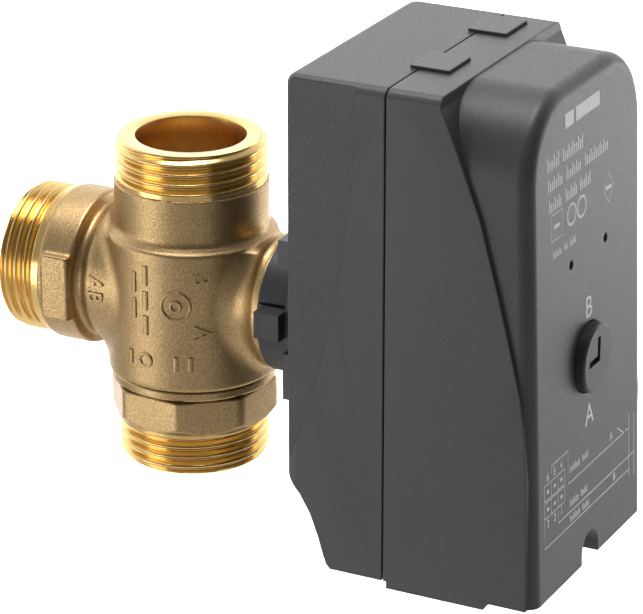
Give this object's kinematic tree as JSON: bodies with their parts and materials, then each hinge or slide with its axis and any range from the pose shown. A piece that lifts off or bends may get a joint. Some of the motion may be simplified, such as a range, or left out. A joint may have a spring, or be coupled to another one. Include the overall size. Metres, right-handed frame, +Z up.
{
  "type": "three way valve",
  "caption": "Brass three-way ball valve with pipe-thread ports and an electric quarter-turn actuator that turns a ball between the ports through a gear train.",
  "frame": {"origin": "centre of the end face of the lower port A", "axes": "+Z up the straight pipe run towards port B, +Y along the side port AB, -Y along the stem towards the actuator's dial"},
  "size_m": [0.06, 0.1373, 0.1111],
  "materials": {
    "cast_brass": "shot-blasted casting, threads bright",
    "machined_brass": "turned",
    "black_rubber": "matte",
    "white_ptfe": "smooth",
    "collar_plastic": "fine grain",
    "casing_plastic": "fine spark-eroded grain",
    "zinc_steel": "zinc plated",
    "motor_can": "drawn steel can",
    "switch_plastic": "moulded",
    "white_acetal": "moulded",
    "red_acetal": "moulded",
    "board_laminate": "solder resist",
    "capacitor_film": "dipped",
    "resistor_coat": "lacquered",
    "tinned_pins": "tinned",
    "ball_chrome": "polished",
    "dial_plastic": "fine grain"
  },
  "bodies": {
    "valve_and_casing": {"valve_body": "cast_brass", "port_a_end_piece": "machined_brass", "end_piece_o_ring": "black_rubber", "seat_a": "white_ptfe", "seat_b": "white_ptfe", "stem_thrust_washer": "white_ptfe", "stem_gland": "machined_brass", "mounting_collar": "collar_plastic", "collar_nut": "zinc_steel", "rear_housing": "casing_plastic", "front_cover": "casing_plastic", "housing_screws": "zinc_steel", "gear_plate": "zinc_steel", "gear_plate_screws": "zinc_steel", "gear_axles": "zinc_steel", "shaft_rear_bush": "machined_brass", "shaft_plate_bush": "machined_brass", "motor": "motor_can", "motor_screws": "zinc_steel", "microswitch_a": "switch_plastic", "microswitch_b": "switch_plastic", "switch_plunger_a": "white_acetal", "switch_plunger_b": "white_acetal", "switch_pins": "zinc_steel", "circuit_board": "board_laminate", "board_screws": "zinc_steel", "run_capacitor": "capacitor_film", "series_resistor": "resistor_coat", "connector_socket": "switch_plastic", "socket_pins": "tinned_pins"},
    "output_train": {"ball": "ball_chrome", "stem": "machined_brass", "stem_o_rings": "black_rubber", "output_shaft": "white_acetal", "output_gear": "white_acetal", "cam_a": "red_acetal", "cam_b": "red_acetal", "position_dial": "dial_plastic"},
    "second_stage": {"second_stage_gear": "white_acetal"},
    "first_stage": {"first_stage_gear": "white_acetal"},
    "motor_output": {"motor_pinion": "machined_brass", "motor_shaft": "zinc_steel"}
  },
  "joints": [
    {"name": "output_turn", "type": "hinge", "parent": "valve_and_casing", "child": "output_train", "pos_m": [0, 0, 0.0395], "axis": [0, -1, 0], "range_deg": [0, 90]},
    {"name": "second_stage_turn", "type": "hinge", "parent": "valve_and_casing", "child": "second_stage", "pos_m": [-0.009, -0.05, 0.06336], "axis": [0, -1, 0], "range_deg": [-420, 0]},
    {"name": "first_stage_turn", "type": "hinge", "parent": "valve_and_casing", "child": "first_stage", "pos_m": [0.008, -0.05, 0.06928], "axis": [0, -1, 0], "range_deg": [0, 1260]},
    {"name": "motor_turn", "type": "hinge", "parent": "valve_and_casing", "child": "motor_output", "pos_m": [-0.006, -0.055, 0.0806], "axis": [0, -1, 0], "range_deg": [-3780, 0]}
  ],
  "couplings": [
    {"joint": "second_stage_turn", "follows": "output_turn", "ratio": -4.6667},
    {"joint": "first_stage_turn", "follows": "output_turn", "ratio": 14},
    {"joint": "motor_turn", "follows": "output_turn", "ratio": -42}
  ]
}
